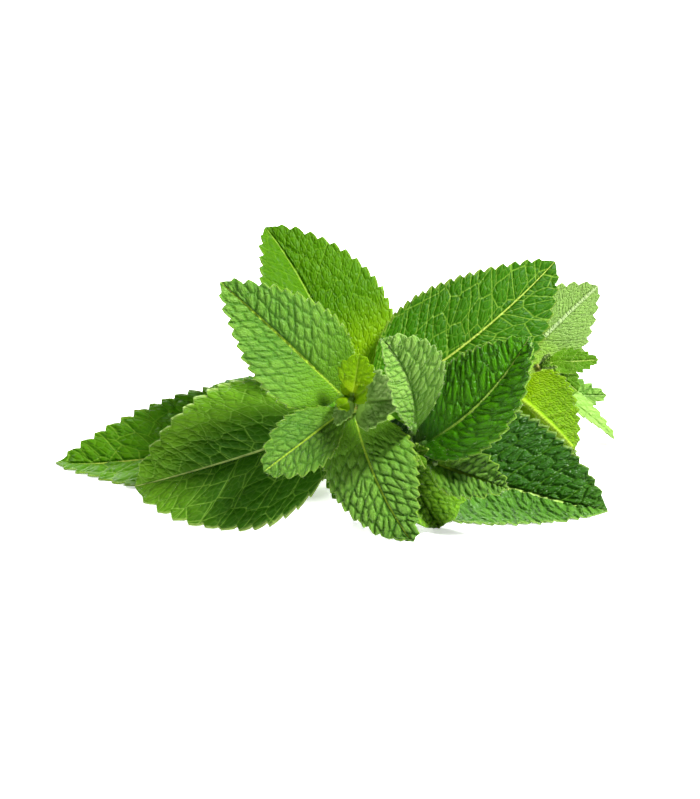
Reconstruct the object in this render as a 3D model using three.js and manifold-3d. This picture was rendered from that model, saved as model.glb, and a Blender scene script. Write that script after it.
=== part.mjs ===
// A cut mint sprig lying on a table: one square stem with two side shoots, leaves in crossed
// pairs, and a bud of unopened leaves at each of the three tips. Millimetres and degrees, +Z up.
// The sprig rests on the flat underside of its cut stem and on the pressed rims of its lowest leaves.
import * as THREE from "three";
import Module from "manifold-3d";

const wasm = await Module();
wasm.setup();

// Driving dimensions
const bladeThickness = 0.7;
const ribDepth = 0.7; // how far the midrib stands out under the blade at its base
const stalkRadius = { least: 0.45, perWidth: 0.015, atBlade: 0.9 };
const stalkLength = { least: 1, perLength: 0.04 };
const stalkEnd = 0.7; // the share of a stalk that stays round
const usualWidest = 0.36; // where a blade is widest, from its base (0) to its tip (1)
const tipHalf = 0.15; // half the width of a blade at its very tip
const teethOf = {
  pitch: 4, // along the rim of a leaf
  fewest: 5, // along one rim
  depth: 0.042, // of the leaf's width
  fullFrom: 0.25, // nearer the base they are shallower
  pointAt: 0.72, // where in its pitch a tooth is widest
  lean: 0.18, // how far a point leans to the tip, in pitches
  first: 0.05, // where the teeth begin and end, from base (0) to tip (1)
  last: 0.96,
  lastHalf: 0.8, // the blade is narrowed to this share after its last tooth
};
const nodeSwell = 1.15; // how much thicker the stem is where leaves grow
const gap = 0.3; // between a leaf and the stem
const tableSoftness = 0.8; // height at which a blade starts to flatten against the table
const pressLift = 0.28; // lowest height of the middle of a blade
const footprintMiddle = [-3.5, 13.6, 0]; // becomes the origin

// Each shoot runs through its nodes, from where it starts to its growing tip.
// halfSide is half the width of the square stem at the start and at the tip.
const mainNodes = [
  [22, 62, 2], [13, 42, 2], [5, 24, 3.5], [-3, 6, 9], [0, -5, 17],
  [1, -12, 22], [1, -17, 26], [0.8, -20, 28.3], [0.5, -23, 30.5],
];
const shoots = {
  main: { nodes: mainNodes, halfSide: [2.1, 0.8] },
  front: {
    nodes: [mainNodes[3], [4, -5, 10.5], [9.5, -12.5, 12.5], [12.5, -17, 14.5], [14.5, -21, 16.5]],
    halfSide: [1.4, 0.8],
  },
  back: {
    nodes: [mainNodes[2], [20, 27, 8], [38, 28, 16], [44, 27, 19], [48, 26, 21.5]],
    halfSide: [1.4, 0.8],
  },
};

// A leaf grows from a node of a shoot. heading and pitch aim the line from the node to the leaf's
// tip, and roll turns the blade about that line. arch bends the leaf down along its length and
// hook bends it sideways. fold lifts both halves about the midrib, and cup bends them down again
// towards the rims. widest says where a blade is widest, when that isn't the usual place.
const leaves = {
  main_leaf_1_left: {
    shoot: "main", node: 2, heading: 160, pitch: 8,
    length: 45, width: 28, arch: 50, fold: 8, cup: 20,
  },
  main_leaf_1_right: {
    shoot: "main", node: 2, heading: -3, pitch: -5,
    length: 50, width: 27, arch: 10, fold: 6, cup: 20,
  },
  main_leaf_2_left: {
    shoot: "main", node: 3, heading: 174, pitch: -8, roll: -31,
    length: 68, width: 37, fold: 20, cup: 14,
  },
  main_leaf_2_right: {
    shoot: "main", node: 3, heading: -20, pitch: -8, roll: 35,
    length: 65, width: 39, widest: 0.5, fold: 22, cup: 15,
  },
  main_leaf_3_upper: {
    shoot: "main", node: 4, heading: 136, pitch: 57, roll: -20,
    stalk: 8, length: 45, width: 34, arch: 30, hook: -20, fold: 28, cup: 20, young: true,
  },
  main_leaf_3_lower: {
    shoot: "main", node: 4, heading: -100, pitch: -45,
    length: 18, width: 12, arch: 10, fold: 10, cup: 10,
  },
  main_leaf_4_left: {
    shoot: "main", node: 5, heading: -178, pitch: -18, roll: -48,
    length: 52, width: 38, widest: 0.45, arch: 20, hook: 16, fold: 18, cup: 30,
  },
  main_leaf_4_right: {
    shoot: "main", node: 5, heading: 20, pitch: 33, roll: 58,
    stalk: 7, length: 54, width: 33, arch: 20, hook: -20, fold: 8, cup: 25,
  },
  main_leaf_5_upper: {
    shoot: "main", node: 6, heading: -174, pitch: 46, roll: -70,
    stalk: 5, length: 39, width: 24, arch: 25, fold: 20, cup: 25,
  },
  main_leaf_5_lower: {
    shoot: "main", node: 6, heading: -51.5, pitch: -51, roll: 46,
    length: 33, width: 22, widest: 0.34, arch: 30, hook: -22, fold: 10, cup: 30,
  },
  main_leaf_6_left: {
    shoot: "main", node: 7, heading: -152, pitch: -28.5, roll: -58,
    length: 24.5, width: 14.5, widest: 0.54, arch: 25, fold: 24, cup: 15,
  },
  main_leaf_6_right: {
    shoot: "main", node: 7, heading: -36, pitch: 16, roll: 60,
    length: 13, width: 15, arch: 10, fold: 20, cup: 10,
  },
  front_leaf_1_right: {
    shoot: "front", node: 2, heading: -17, pitch: 45, roll: 58,
    stalk: 8, length: 40, width: 24, widest: 0.5, arch: 15, hook: -55, fold: 30, cup: 30,
  },
  front_leaf_2_right: {
    shoot: "front", node: 3, heading: -35, pitch: -4, roll: 50,
    stalk: 8, length: 20.5, width: 13, widest: 0.45, arch: 15, fold: 25, cup: 15,
  },
  front_leaf_2_upper: {
    shoot: "front", node: 3, heading: -110, pitch: 64, roll: -115,
    stalk: 6.5, length: 32, width: 18.5, widest: 0.6, arch: 40, hook: -35, fold: 30, cup: 10,
  },
  front_leaf_1_lower: {
    shoot: "front", node: 2, heading: -52, pitch: -36,
    length: 20.5, width: 22, widest: 0.6, arch: 10, fold: 25, cup: 10,
  },
  back_leaf_1_upper: {
    shoot: "back", node: 2, heading: 18, pitch: 42, roll: -97,
    stalk: 8, length: 27.5, width: 22, arch: 20, fold: 10, cup: 20, young: true,
  },
  back_leaf_1_lower: {
    shoot: "back", node: 2, heading: -63, pitch: -9, roll: -98,
    stalk: 5, length: 31, width: 22, widest: 0.3, arch: 20, fold: 35, cup: 10, young: true,
  },
  back_leaf_2_near: {
    shoot: "back", node: 3, heading: -2, pitch: -36, roll: 10,
    stalk: 4, length: 25.5, width: 12, arch: 20, fold: 20, cup: 20, young: true,
  },
  back_leaf_2_far: {
    shoot: "back", node: 3, heading: 34, pitch: -22, roll: 48,
    stalk: 4, length: 28, width: 13.5, arch: -60, fold: 20, cup: 20,
  },
};

// The unopened leaves at the end of a shoot grow together from a small egg-shaped core.
const tips = {
  main_tip: {
    shoot: "main",
    leaves: [
      { heading: 0, pitch: 80, roll: 90, length: 9.5, width: 8.5, widest: 0.5, fold: 15, cup: 30 },
      { heading: -130, pitch: -45, length: 6.5, width: 5.5, fold: 10, cup: 10 },
    ],
  },
  front_tip: {
    shoot: "front",
    leaves: [
      { heading: -95, pitch: -28, length: 4.5, width: 2.6, fold: 8, cup: 10 },
      { heading: -62, pitch: -28, length: 4, width: 2.6, fold: 8, cup: 10 },
    ],
  },
  back_tip: {
    shoot: "back",
    leaves: [
      { heading: 12, pitch: 0, roll: 60, length: 13, width: 7, fold: 15, cup: 10 },
      { heading: -10, pitch: -40, roll: 60, length: 10, width: 9, fold: 15, cup: 10 },
    ],
  },
};
const tipStalk = 1;
const tipTeeth = 3;
const coreSides = 8;
const coreRings = [[0, 0.7], [0.8, 1.1], [1.8, 1], [2.8, 0.4]]; // distance past the gap, radius
const coreMiddle = 1.3;

const green = { mature: 0x3f8f1f, young: 0x86b82c, stem: 0x8fae4a };

const vector = (x, y, z) => new THREE.Vector3(x, y, z);
const rad = THREE.MathUtils.degToRad;
const { lerp, smoothstep } = THREE.MathUtils;

// A closed solid through rings of points, with its first and last ring capped.
// forwards(i) says which way the four-sided face that starts at a ring's point i is split.
function loft(rings, forwards = () => true) {
  const size = rings[0].length;
  const last = rings.length - 1;
  const at = (ring, i) => ring * size + (i % size);
  const faces = [];
  for (let r = 0; r < last; r++) {
    for (let i = 0; i < size; i++) {
      const [a, b, c, d] = [at(r, i), at(r, i + 1), at(r + 1, i + 1), at(r + 1, i)];
      faces.push(...(forwards(i) ? [a, b, c, a, c, d] : [a, b, d, b, c, d]));
    }
  }
  for (let i = 1; i + 1 < size; i++) {
    faces.push(at(0, 0), at(0, i + 1), at(0, i));
    faces.push(at(last, 0), at(last, i), at(last, i + 1));
  }
  const vertProperties = new Float32Array(rings.flat().flatMap((p) => p.toArray()));
  const triVerts = new Uint32Array(faces);
  return new wasm.Manifold(new wasm.Mesh({ numProp: 3, vertProperties, triVerts }));
}

// Two directions square to a shoot: one level, the other upwards.
function across(along) {
  const side = vector().crossVectors(along, vector(0, 0, 1)).normalize();
  return { side, up: vector().crossVectors(side, along) };
}

// The square stem of a shoot, with its corners cut off and nothing of it below the table.
function stemSolid({ nodes, halfSide }, extra) {
  const path = new THREE.CatmullRomCurve3(nodes.map((n) => vector(...n)));
  const stepsPerSpan = 3;
  const flatShare = 0.5; // of a side, between its cut corners
  const steps = (nodes.length - 1) * stepsPerSpan;
  const rings = [];
  for (let k = 0; k <= steps; k++) {
    const centre = path.getPoint(k / steps);
    const { side, up } = across(path.getTangent(k / steps));
    const swollen = k > 0 && k % stepsPerSpan === 0 ? nodeSwell : 1;
    const far = lerp(...halfSide, k / steps) * swollen + extra;
    const near = far * flatShare;
    const square = [
      [far, -near], [near, -far], [-near, -far], [-far, -near],
      [-far, near], [-near, far], [near, far], [far, near],
    ];
    const ring = square.map(([x, y]) => centre.clone().addScaledVector(side, x).addScaledVector(up, y));
    for (const p of ring) p.z = Math.max(p.z, -extra);
    rings.push(ring);
  }
  return loft(rings);
}

// The three stems as one solid, grown by extra on every side.
function allStems(extra) {
  const solids = Object.values(shoots).map((shoot) => stemSolid(shoot, extra));
  return solids.reduce((sum, one) => sum.add(one));
}

// Half the width of a blade at u, from its base (0) to its tip (1), as a share of the widest.
const outline = (u, widest) => Math.sin(Math.PI * u ** (Math.log(0.5) / Math.log(widest))) ** 0.78;

// Where a leaf is measured across: distance from the node, half the width there, how far its rims
// lean forward, how strong the midrib is, and how much of the fold it has. The stalk and the very
// tip have no fold. Every tooth has a notch and a point.
function stations({ length, width, widest = usualWidest, stalk, teeth }) {
  const { first, last, pointAt } = teethOf;
  const radius = stalkRadius.least + stalkRadius.perWidth * width;
  const lean = (teethOf.lean * length) / teeth;
  const half = (u) => (width / 2) * outline(u, widest);
  const list = [
    { s: 0, half: radius, lean: 0, rib: 1, folded: 0 },
    { s: stalk * stalkEnd, half: radius * stalkRadius.atBlade, lean: 0, rib: 1, folded: 0 },
  ];
  const add = (u, wide, forward, folded = 1) => {
    list.push({ s: stalk + u * length, half: wide, lean: forward, rib: 1 - u, folded });
  };
  for (let i = 0; i < teeth; i++) {
    const notch = lerp(first, last, i / teeth);
    const point = lerp(first, last, (i + pointAt) / teeth);
    const depth = teethOf.depth * width * smoothstep(notch, 0, teethOf.fullFrom);
    add(notch, half(notch) - depth / 2, 0);
    add(point, half(point) + depth / 2, lean);
  }
  add(last, half(last) * teethOf.lastHalf, 0);
  add(1, tipHalf, 0, 0);
  return list;
}

// A leaf with every angle in radians, its stalk, its teeth, its whole length and the axes of its
// chord.
function aimed(leaf) {
  const names = ["heading", "pitch", "roll", "arch", "hook", "fold", "cup"];
  const angles = Object.fromEntries(names.map((name) => [name, rad(leaf[name] ?? 0)]));
  const stalk = leaf.stalk ?? stalkLength.least + stalkLength.perLength * leaf.length;
  const teeth = leaf.teeth ?? Math.max(teethOf.fewest, Math.round(leaf.length / teethOf.pitch));
  const { heading, pitch, roll } = angles;
  const level = Math.cos(pitch);
  const forward = vector(level * Math.cos(heading), level * Math.sin(heading), Math.sin(pitch));
  const left = vector(-Math.sin(heading), Math.cos(heading), 0).applyAxisAngle(forward, roll);
  const face = vector().crossVectors(forward, left);
  return { ...leaf, ...angles, stalk, teeth, whole: stalk + leaf.length, forward, left, face };
}

// Which way a leaf runs at a distance s from its node, with its left and its upper face there.
function frameAt({ forward, left, face, arch, hook, whole }, s) {
  const down = arch * (0.5 - s / whole);
  const aside = hook * (0.5 - s / whole);
  const along = vector()
    .addScaledVector(forward, Math.cos(down) * Math.cos(aside))
    .addScaledVector(left, Math.cos(down) * Math.sin(aside))
    .addScaledVector(face, Math.sin(down));
  const side = left.clone().addScaledVector(along, -left.dot(along)).normalize();
  return { along, side, up: vector().crossVectors(along, side) };
}

// A point close to the table flattens softly against it.
function pressOnTable(p) {
  const z = p.z - pressLift;
  if (z < tableSoftness) p.z = pressLift + tableSoftness * Math.exp(z / tableSoftness - 1);
}

// The ring of points round a leaf at one station: its upper face from left to right, then back.
function leafRing(leaf, station, centre, { along, side, up }) {
  const acrossBlade = [1, 0.5, 0, -0.5, -1]; // from the left rim to the right one
  const fold = leaf.fold * station.folded;
  const bend = leaf.cup / (leaf.width / 2);
  const top = [];
  const bottom = [];
  for (const v of acrossBlade) {
    const d = Math.abs(v) * station.half;
    const slope = fold - bend * d;
    const reach = (Math.sin(fold) - Math.sin(slope)) / bend;
    const rise = (Math.cos(slope) - Math.cos(fold)) / bend;
    const p = centre.clone()
      .addScaledVector(side, Math.sign(v) * reach)
      .addScaledVector(up, rise)
      .addScaledVector(along, station.lean * v * v);
    pressOnTable(p);
    const outward = up.clone().multiplyScalar(Math.cos(slope));
    outward.addScaledVector(side, -Math.sign(v) * Math.sin(slope));
    const rib = v === 0 ? ribDepth * station.rib : 0;
    top.push(p.clone().addScaledVector(outward, bladeThickness / 2));
    bottom.unshift(p.addScaledVector(outward, -bladeThickness / 2 - rib));
  }
  for (const p of top) p.z = Math.max(p.z, bladeThickness);
  for (const p of bottom) p.z = Math.max(p.z, 0);
  return [...top, ...bottom];
}

// A leaf and its stalk as one closed blade that starts in the middle of the stem.
function leafSolid(given, start) {
  const leaf = aimed(given);
  const centre = start.clone();
  const rings = [];
  let before = 0;
  for (const station of stations(leaf)) {
    centre.addScaledVector(frameAt(leaf, (before + station.s) / 2).along, station.s - before);
    rings.push(leafRing(leaf, station, centre, frameAt(leaf, station.s)));
    before = station.s;
  }
  const topHalf = 5; // points of a ring on the upper face
  return loft(rings, (i) => i % topHalf >= 2); // both faces of the blade are split alike
}

// The bud at the end of a shoot: its core and the small leaves that grow from it.
function tipSolid({ shoot, leaves: small }) {
  const [before, end] = shoots[shoot].nodes.slice(-2).map((n) => vector(...n));
  const along = end.clone().sub(before).normalize();
  const { side, up } = across(along);
  const rings = coreRings.map(([far, radius]) =>
    Array.from({ length: coreSides }, (_, k) => {
      const turn = (-2 * Math.PI * k) / coreSides;
      return end.clone()
        .addScaledVector(along, gap + far)
        .addScaledVector(side, radius * Math.cos(turn))
        .addScaledVector(up, radius * Math.sin(turn));
    }),
  );
  const middle = end.clone().addScaledVector(along, gap + coreMiddle);
  const solids = small.map((leaf) => leafSolid({ stalk: tipStalk, teeth: tipTeeth, ...leaf }, middle));
  return solids.reduce((sum, one) => sum.add(one), loft(rings));
}

function meshOf(name, solid, color) {
  const { vertProperties, triVerts } = solid.getMesh();
  const geometry = new THREE.BufferGeometry();
  geometry.setAttribute("position", new THREE.BufferAttribute(vertProperties, 3));
  geometry.setIndex(new THREE.BufferAttribute(triVerts, 1));
  geometry.computeVertexNormals();
  const material = new THREE.MeshStandardMaterial({ color, roughness: 0.5, metalness: 0 });
  const mesh = new THREE.Mesh(geometry, material);
  mesh.name = name;
  return mesh;
}

const sprig = new THREE.Group();
const stemSpace = allStems(gap);
sprig.add(meshOf("stem", allStems(0), green.stem));
for (const [name, leaf] of Object.entries(leaves)) {
  const start = vector(...shoots[leaf.shoot].nodes[leaf.node]);
  const color = leaf.young ? green.young : green.mature;
  sprig.add(meshOf(name, leafSolid(leaf, start).subtract(stemSpace), color));
}
for (const [name, tip] of Object.entries(tips)) {
  sprig.add(meshOf(name, tipSolid(tip).subtract(stemSpace), green.young));
}
sprig.position.set(...footprintMiddle.map((x) => -x));

export default sprig;
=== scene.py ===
from math import asin, atan2, ceil, copysign, cos, degrees, exp, log, pi, radians, sin
from random import Random

import bmesh
import bpy
from mathutils import Matrix, Vector, noise


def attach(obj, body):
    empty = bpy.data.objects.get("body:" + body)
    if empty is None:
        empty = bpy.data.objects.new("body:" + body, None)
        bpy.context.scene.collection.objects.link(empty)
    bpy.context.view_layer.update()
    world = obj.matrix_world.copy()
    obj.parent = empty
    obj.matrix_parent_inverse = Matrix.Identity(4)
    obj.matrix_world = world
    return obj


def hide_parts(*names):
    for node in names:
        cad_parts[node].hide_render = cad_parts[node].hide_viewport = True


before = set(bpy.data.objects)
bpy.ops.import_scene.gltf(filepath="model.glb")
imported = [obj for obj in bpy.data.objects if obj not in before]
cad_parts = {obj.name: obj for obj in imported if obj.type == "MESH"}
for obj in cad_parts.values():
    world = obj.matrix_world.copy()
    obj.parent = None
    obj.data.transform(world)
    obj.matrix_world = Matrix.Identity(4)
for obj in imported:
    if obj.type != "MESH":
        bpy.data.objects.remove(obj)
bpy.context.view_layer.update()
mm = 0.001

# places are in millimetres, and each finished piece is moved so that this one becomes the origin
footprintMiddle = Vector((-3.5, 13.6, 0))

# the nodes of each shoot, where its leaves grow, and half its thickness at its start and its end
mainNodes = [
    (22, 62, 2), (13, 42, 2), (5, 24, 3.5), (-3, 6, 9), (0, -5, 17),
    (1, -12, 22), (1, -17, 26), (0.8, -20, 28.3), (0.5, -23, 30.5),
]
shoots = {
    "main": {"nodes": mainNodes, "halfSide": (2.1, 0.8)},
    "front": {
        "nodes": [mainNodes[3], (4, -5, 10.5), (9.5, -12.5, 12.5), (12.5, -17, 14.5), (14.5, -21, 16.5)],
        "halfSide": (1.4, 0.8),
    },
    "back": {
        "nodes": [mainNodes[2], (20, 27, 8), (38, 28, 16), (44, 27, 19), (48, 26, 21.5)],
        "halfSide": (1.4, 0.8),
    },
}


class Wire:
    # one socket in a node tree: sums on it add Math nodes
    def __init__(self, tree, socket=None):
        self.tree = tree
        self.socket = socket

    def add(self, kind, settings=None, sockets=None, out=0):
        # any node: first its settings, then the values or the links of its sockets
        node = self.tree.nodes.new(kind)
        for name, value in (settings or {}).items():
            setattr(node, name, value)
        for name, value in (sockets or {}).items():
            if isinstance(value, Wire):
                self.tree.links.new(value.socket, node.inputs[name])
            else:
                node.inputs[name].default_value = value
        return Wire(self.tree, node.outputs[out] if len(node.outputs) > out else None)

    def maths(self, operation, *values):
        return self.add("ShaderNodeMath", {"operation": operation}, dict(enumerate(values)))

    def __add__(self, other):
        return self.maths("ADD", self, other)

    def __radd__(self, other):
        return self.maths("ADD", other, self)

    def __sub__(self, other):
        return self.maths("SUBTRACT", self, other)

    def __rsub__(self, other):
        return self.maths("SUBTRACT", other, self)

    def __mul__(self, other):
        return self.maths("MULTIPLY", self, other)

    def __rmul__(self, other):
        return self.maths("MULTIPLY", other, self)

    def __abs__(self):
        return self.maths("ABSOLUTE", self)

    def fade(self, low, high, start=0.0, end=1.0):  # goes smoothly from start at low to end at high
        return self.add("ShaderNodeMapRange", {"interpolation_type": "SMOOTHSTEP"}, {
            "Value": self, "From Min": low, "From Max": high, "To Min": start, "To Max": end})

    def split(self, axis):  # one coordinate of a vector
        return self.add("ShaderNodeSeparateXYZ", None, {0: self}, axis)

    def blend(self, one, two):  # colour one where this is 0 and two where it is 1
        return self.add("ShaderNodeMix", {"data_type": "RGBA"}, {0: self, 6: one, 7: two}, 2)


def plainMesh(bm, name):
    mesh = bpy.data.meshes.new(name)
    bm.to_mesh(mesh)
    bm.free()
    return mesh


def toPlace(mesh):  # to metres, with the middle of the footprint at the origin
    mesh.transform(Matrix.Scale(mm, 4) @ Matrix.Translation(-footprintMiddle))


def colour(rgb):
    return (*rgb, 1)


def newMaterial(name):
    material = bpy.data.materials.new(name)
    material.use_nodes = True
    material.node_tree.nodes.clear()
    return material, Wire(material.node_tree)


def plainMaterial(name, sockets):  # the same all over
    material, wire = newMaterial(name)
    body = wire.add("ShaderNodeBsdfPrincipled", None, sockets)
    wire.add("ShaderNodeOutputMaterial", None, {"Surface": body})
    return material


# the camera looks along y, from in front and a little above; clip is in metres
view = {"distance": 480, "target": (0, 0, 22), "elevation": 20, "lens": 90, "clip": (0.01, 20)}


def makeCamera():
    data = bpy.data.cameras.new("camera")
    data.lens = view["lens"]
    data.clip_start, data.clip_end = view["clip"]
    camera = bpy.data.objects.new("camera", data)
    bpy.context.collection.objects.link(camera)
    tilt = radians(view["elevation"])
    back = Vector((0, -cos(tilt), sin(tilt)))
    target = Vector(view["target"]) - footprintMiddle
    camera.location = (target + back * view["distance"]) * mm
    camera.rotation_euler = (pi / 2 - tilt, 0, 0)
    bpy.context.scene.camera = camera
    bpy.context.scene.view_settings.view_transform = "Standard"


# round lamps and a pale floor in a dim room, in metres from the origin
lamps = {
    "key": {"place": (0.35, -0.18, 0.55), "size": 0.15, "power": 13.5, "colour": (1, 1, 1)},
    "back": {"place": (-0.3, 0.5, 0.35), "size": 0.3, "power": 8, "colour": (1, 1, 1)},
}
room = {"aim": (0, 0, 0.02), "brightness": 0.08}  # the lamps point at aim
floorPlan = {"half": 6, "drop": 0.05 * mm, "colour": (0.95, 0.95, 0.95), "roughness": 0.9, "glow": 0.5}


def makeLamps():
    for name, lamp in lamps.items():
        data = bpy.data.lights.new(name, "AREA")
        data.shape, data.size = "DISK", lamp["size"]
        data.energy, data.color = lamp["power"], lamp["colour"]
        light = bpy.data.objects.new(name, data)
        light.location = lamp["place"]
        towards = Vector(room["aim"]) - light.location
        light.rotation_euler = towards.to_track_quat("-Z", "Y").to_euler()
        bpy.context.collection.objects.link(light)
    world = bpy.data.worlds.new("studio")
    bpy.context.scene.world = world
    world.use_nodes = True
    sky = world.node_tree.nodes["Background"]
    sky.inputs["Color"].default_value = (1, 1, 1, 1)
    sky.inputs["Strength"].default_value = room["brightness"]


def makeFloor():
    bm = bmesh.new()
    bmesh.ops.create_grid(bm, x_segments=1, y_segments=1, size=floorPlan["half"])
    bmesh.ops.translate(bm, verts=bm.verts, vec=(0, 0, -floorPlan["drop"]))
    floorMesh = plainMesh(bm, "floor")
    floorMesh.materials.append(plainMaterial("paleFloor", {
        "Base Color": colour(floorPlan["colour"]), "Roughness": floorPlan["roughness"],
        "Emission Color": (1, 1, 1, 1), "Emission Strength": floorPlan["glow"]}))
    floorObject = bpy.data.objects.new("floor", floorMesh)
    bpy.context.collection.objects.link(floorObject)


# veins and the bulges between them; one pattern serves the shape and the colour of every leaf
net = {
    "uneven": 0.8,  # how far the meshes of the net are from a regular grid
    "sideGroove": 0.11,  # how far the slope of a groove reaches, in gaps between side veins
    "cellGroove": 0.24,  # the same in meshes
    "ribGroove": (0.6, 1.8),  # where the slope beside the midrib lies, in its half widths
    "deep": 0.7,  # the depth of a groove as a share of a bulge
    "smoothTo": (0.05, 0.4),  # where on a blade the bulges start and where they are full
    "smooth": 0.7,  # how high the smooth base of a blade is, as a share of a bulge
    "level": 0.5,  # the height that stays in the plane of the blade
}


def leafNet(wire, read):
    # veins holds the count of side veins from the base, cells the place in the net, blade the distance
    # from the midrib in its half widths, and share the places along the blade and across it
    count = read("veins").split(0)
    rib = abs(read("blade").split(0))
    side = 0.5 - abs(count.maths("FRACT", count) - 0.5)  # 0 on a side vein, 0.5 half way to the next
    cells = read("cells")
    share = read("share")
    cell = wire.add("ShaderNodeTexVoronoi",
                    {"voronoi_dimensions": "2D", "feature": "DISTANCE_TO_EDGE"},
                    {"Vector": cells, "Scale": 1.0, "Randomness": net["uneven"]})
    bulge = cell.fade(0, net["cellGroove"])
    between = side.fade(0, net["sideGroove"])
    aside = rib.fade(*net["ribGroove"])
    deep, rest = net["deep"], 1 - net["deep"]
    relief = (between * deep + rest) * (bulge * deep + rest) * aside
    grown = share.split(0).fade(*net["smoothTo"])
    relief = net["smooth"] - (net["smooth"] - relief) * grown
    return {"side": side, "cell": cell, "rib": rib, "relief": relief, "cells": cells, "share": share}


def makeQuilt():
    # raises the blade between its veins by what its lift attribute says
    tree = bpy.data.node_groups.new("quilt", "GeometryNodeTree")
    for way in ("INPUT", "OUTPUT"):
        tree.interface.new_socket("Geometry", in_out=way, socket_type="NodeSocketGeometry")
    wire = Wire(tree)

    def stored(name, kind="FLOAT_VECTOR"):
        return wire.add("GeometryNodeInputNamedAttribute", {"data_type": kind}, {"Name": name})

    pattern = leafNet(wire, stored)
    height = (pattern["relief"] - net["level"]) * stored("lift", "FLOAT")
    up = wire.add("GeometryNodeInputNormal")
    offset = wire.add("ShaderNodeVectorMath", {"operation": "SCALE"}, {0: up, "Scale": height})
    mesh = wire.add("NodeGroupInput")
    moved = wire.add("GeometryNodeSetPosition", None, {"Geometry": mesh, "Offset": offset})
    wire.add("NodeGroupOutput", None, {0: moved})
    return tree


# what a finish has unless it says otherwise
plainFinish = {
    "under": (0.12, 0.24, 0.05), "underVein": (0.3, 0.42, 0.12),  # the under side
    "baseTo": (0, 0.5),  # where the colour of the base fades out; on clear it is painted light, on glossy and shaded painted shade
    "paintedShadeSide": 0,  # 1 or -1 also fades it out on the left or the right half, over the range after it, so that the painted shade lies on one half
    "ribReach": (0.25, 0.6),  # where the midrib's colour fades out, in half widths of the midrib
    "ribFrom": (0, 0.02),  # where along the blade it fades in
    "stalkTo": (-0.04, 0.04),  # where the stalk's colour fades out
    "thin": 0.3,  # how much light comes through, in the colour that glow gives
    "roughness": 0.45, "shine": 0.1, "sheen": 0.0, "relief": 0.12,
}
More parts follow.
